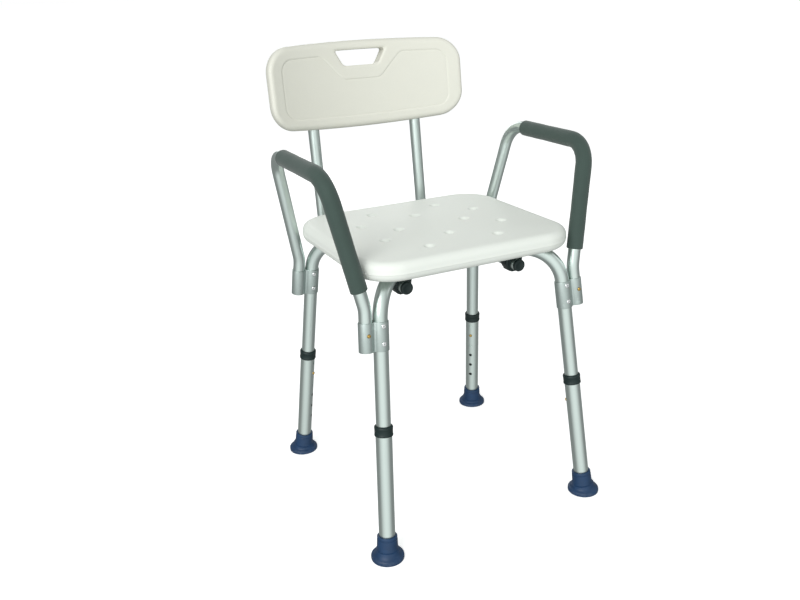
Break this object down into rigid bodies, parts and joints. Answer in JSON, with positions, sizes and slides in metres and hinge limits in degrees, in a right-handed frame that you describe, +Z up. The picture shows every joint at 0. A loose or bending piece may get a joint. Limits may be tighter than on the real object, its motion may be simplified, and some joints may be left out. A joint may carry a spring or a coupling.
{
  "type": "shower chair",
  "caption": "Shower chair with a drained white seat, slide-off curved back, lift-off padded arms and height-adjustable splayed aluminium legs with rubber feet.",
  "frame": {"origin": "on the floor, at the middle of the bounding box seen from above", "axes": "+Z up, -Y towards the front of the chair, +X to the right of someone who stands in front and looks at it"},
  "size_m": [0.521, 0.5462, 0.8146],
  "materials": {
    "tube": "satin anodised",
    "rivet": "bright",
    "button": "polished",
    "screw": "plain",
    "seat_plastic": "fine moulded grain",
    "back_plastic": "fine moulded grain",
    "trim_plastic": "satin",
    "foam": "matt closed-cell foam",
    "foot_rubber": "satin"
  },
  "bodies": {
    "frame": {"seat": "seat_plastic", "frame_tube_upper": "tube", "frame_tube_dipped": "tube", "cross_rivet": "rivet", "arm_socket_front_left": "tube", "arm_socket_front_right": "tube", "arm_socket_rear_left": "tube", "arm_socket_rear_right": "tube", "socket_rivet_upper_front_left": "rivet", "socket_rivet_lower_front_left": "rivet", "socket_rivet_upper_front_right": "rivet", "socket_rivet_lower_front_right": "rivet", "socket_rivet_upper_rear_left": "rivet", "socket_rivet_lower_rear_left": "rivet", "socket_rivet_upper_rear_right": "rivet", "socket_rivet_lower_rear_right": "rivet", "saddle_front_left": "trim_plastic", "saddle_front_right": "trim_plastic", "saddle_rear_left": "trim_plastic", "saddle_rear_right": "trim_plastic", "saddle_screw_front_left_a": "screw", "saddle_screw_front_left_b": "screw", "saddle_screw_front_right_a": "screw", "saddle_screw_front_right_b": "screw", "saddle_screw_rear_left_a": "screw", "saddle_screw_rear_left_b": "screw", "saddle_screw_rear_right_a": "screw", "saddle_screw_rear_right_b": "screw"},
    "leg_front_left": {"lower_tube_front_left": "tube", "leg_collar_front_left": "trim_plastic", "foot_front_left": "foot_rubber"},
    "leg_front_right": {"lower_tube_front_right": "tube", "leg_collar_front_right": "trim_plastic", "foot_front_right": "foot_rubber"},
    "leg_rear_left": {"lower_tube_rear_left": "tube", "leg_collar_rear_left": "trim_plastic", "foot_rear_left": "foot_rubber"},
    "leg_rear_right": {"lower_tube_rear_right": "tube", "leg_collar_rear_right": "trim_plastic", "foot_rear_right": "foot_rubber"},
    "leg_button_front_left": {"leg_button_front_left": "button"},
    "leg_button_front_right": {"leg_button_front_right": "button"},
    "leg_button_rear_left": {"leg_button_rear_left": "button"},
    "leg_button_rear_right": {"leg_button_rear_right": "button"},
    "arm_left": {"arm_tube_left": "tube", "arm_grip_left": "foam"},
    "arm_right": {"arm_tube_right": "tube", "arm_grip_right": "foam"},
    "arm_button_front_left": {"arm_button_front_left": "button"},
    "arm_button_front_right": {"arm_button_front_right": "button"},
    "arm_button_rear_left": {"arm_button_rear_left": "button"},
    "arm_button_rear_right": {"arm_button_rear_right": "button"},
    "backrest": {"back_panel": "back_plastic", "back_tube_left": "tube", "back_tube_right": "tube", "tube_plug_left": "trim_plastic", "tube_plug_right": "trim_plastic"}
  },
  "joints": [
    {"name": "leg_front_left_height", "type": "slide", "parent": "frame", "child": "leg_front_left", "axis": [-0.0682, -0.1259, -0.9897], "range_m": [-0.1016, 0.0254], "deforming": ["leg_button_front_left"]},
    {"name": "leg_front_right_height", "type": "slide", "parent": "frame", "child": "leg_front_right", "axis": [0.0682, -0.1259, -0.9897], "range_m": [-0.1016, 0.0254], "deforming": ["leg_button_front_right"]},
    {"name": "leg_rear_left_height", "type": "slide", "parent": "frame", "child": "leg_rear_left", "axis": [-0.0682, 0.1259, -0.9897], "range_m": [-0.1016, 0.0254], "deforming": ["leg_button_rear_left"]},
    {"name": "leg_rear_right_height", "type": "slide", "parent": "frame", "child": "leg_rear_right", "axis": [0.0682, 0.1259, -0.9897], "range_m": [-0.1016, 0.0254], "deforming": ["leg_button_rear_right"]},
    {"name": "leg_button_front_left_press", "type": "slide", "parent": "frame", "child": "leg_button_front_left", "axis": [-0.7044, -0.6964, 0.1371], "range_m": [0, 0.0042], "stiffness_N_per_m": 2500, "springref_m": -0.001, "deforming": ["leg_button_front_left"]},
    {"name": "leg_button_front_right_press", "type": "slide", "parent": "frame", "child": "leg_button_front_right", "axis": [0.7044, -0.6964, 0.1371], "range_m": [0, 0.0042], "stiffness_N_per_m": 2500, "springref_m": -0.001, "deforming": ["leg_button_front_right"]},
    {"name": "leg_button_rear_left_press", "type": "slide", "parent": "frame", "child": "leg_button_rear_left", "axis": [-0.7044, 0.6964, 0.1371], "range_m": [0, 0.0042], "stiffness_N_per_m": 2500, "springref_m": -0.001, "deforming": ["leg_button_rear_left"]},
    {"name": "leg_button_rear_right_press", "type": "slide", "parent": "frame", "child": "leg_button_rear_right", "axis": [0.7044, 0.6964, 0.1371], "range_m": [0, 0.0042], "stiffness_N_per_m": 2500, "springref_m": -0.001, "deforming": ["leg_button_rear_right"]},
    {"name": "arm_left_lift", "type": "slide", "parent": "frame", "child": "arm_left", "axis": [0.0687, 0, 0.9976], "range_m": [0, 0.06], "deforming": ["arm_tube_left", "arm_button_front_left", "arm_button_rear_left"]},
    {"name": "arm_right_lift", "type": "slide", "parent": "frame", "child": "arm_right", "axis": [-0.0687, 0, 0.9976], "range_m": [0, 0.06], "deforming": ["arm_tube_right", "arm_button_front_right", "arm_button_rear_right"]},
    {"name": "arm_button_front_left_press", "type": "slide", "parent": "arm_left", "child": "arm_button_front_left", "axis": [-0.0087, 0.992, -0.1256], "range_m": [0, 0.004], "stiffness_N_per_m": 2500, "springref_m": -0.001, "deforming": ["arm_button_front_left"]},
    {"name": "arm_button_front_right_press", "type": "slide", "parent": "arm_right", "child": "arm_button_front_right", "axis": [0.0087, 0.992, -0.1256], "range_m": [0, 0.004], "stiffness_N_per_m": 2500, "springref_m": -0.001, "deforming": ["arm_button_front_right"]},
    {"name": "arm_button_rear_left_press", "type": "slide", "parent": "arm_left", "child": "arm_button_rear_left", "axis": [-0.0087, -0.992, -0.1256], "range_m": [0, 0.004], "stiffness_N_per_m": 2500, "springref_m": -0.001, "deforming": ["arm_button_rear_left"]},
    {"name": "arm_button_rear_right_press", "type": "slide", "parent": "arm_right", "child": "arm_button_rear_right", "axis": [0.0087, -0.992, -0.1256], "range_m": [0, 0.004], "stiffness_N_per_m": 2500, "springref_m": -0.001, "deforming": ["arm_button_rear_right"]},
    {"name": "backrest_slide", "type": "slide", "parent": "frame", "child": "backrest", "axis": [0, 1, 0], "range_m": [0, 0.23]}
  ]
}
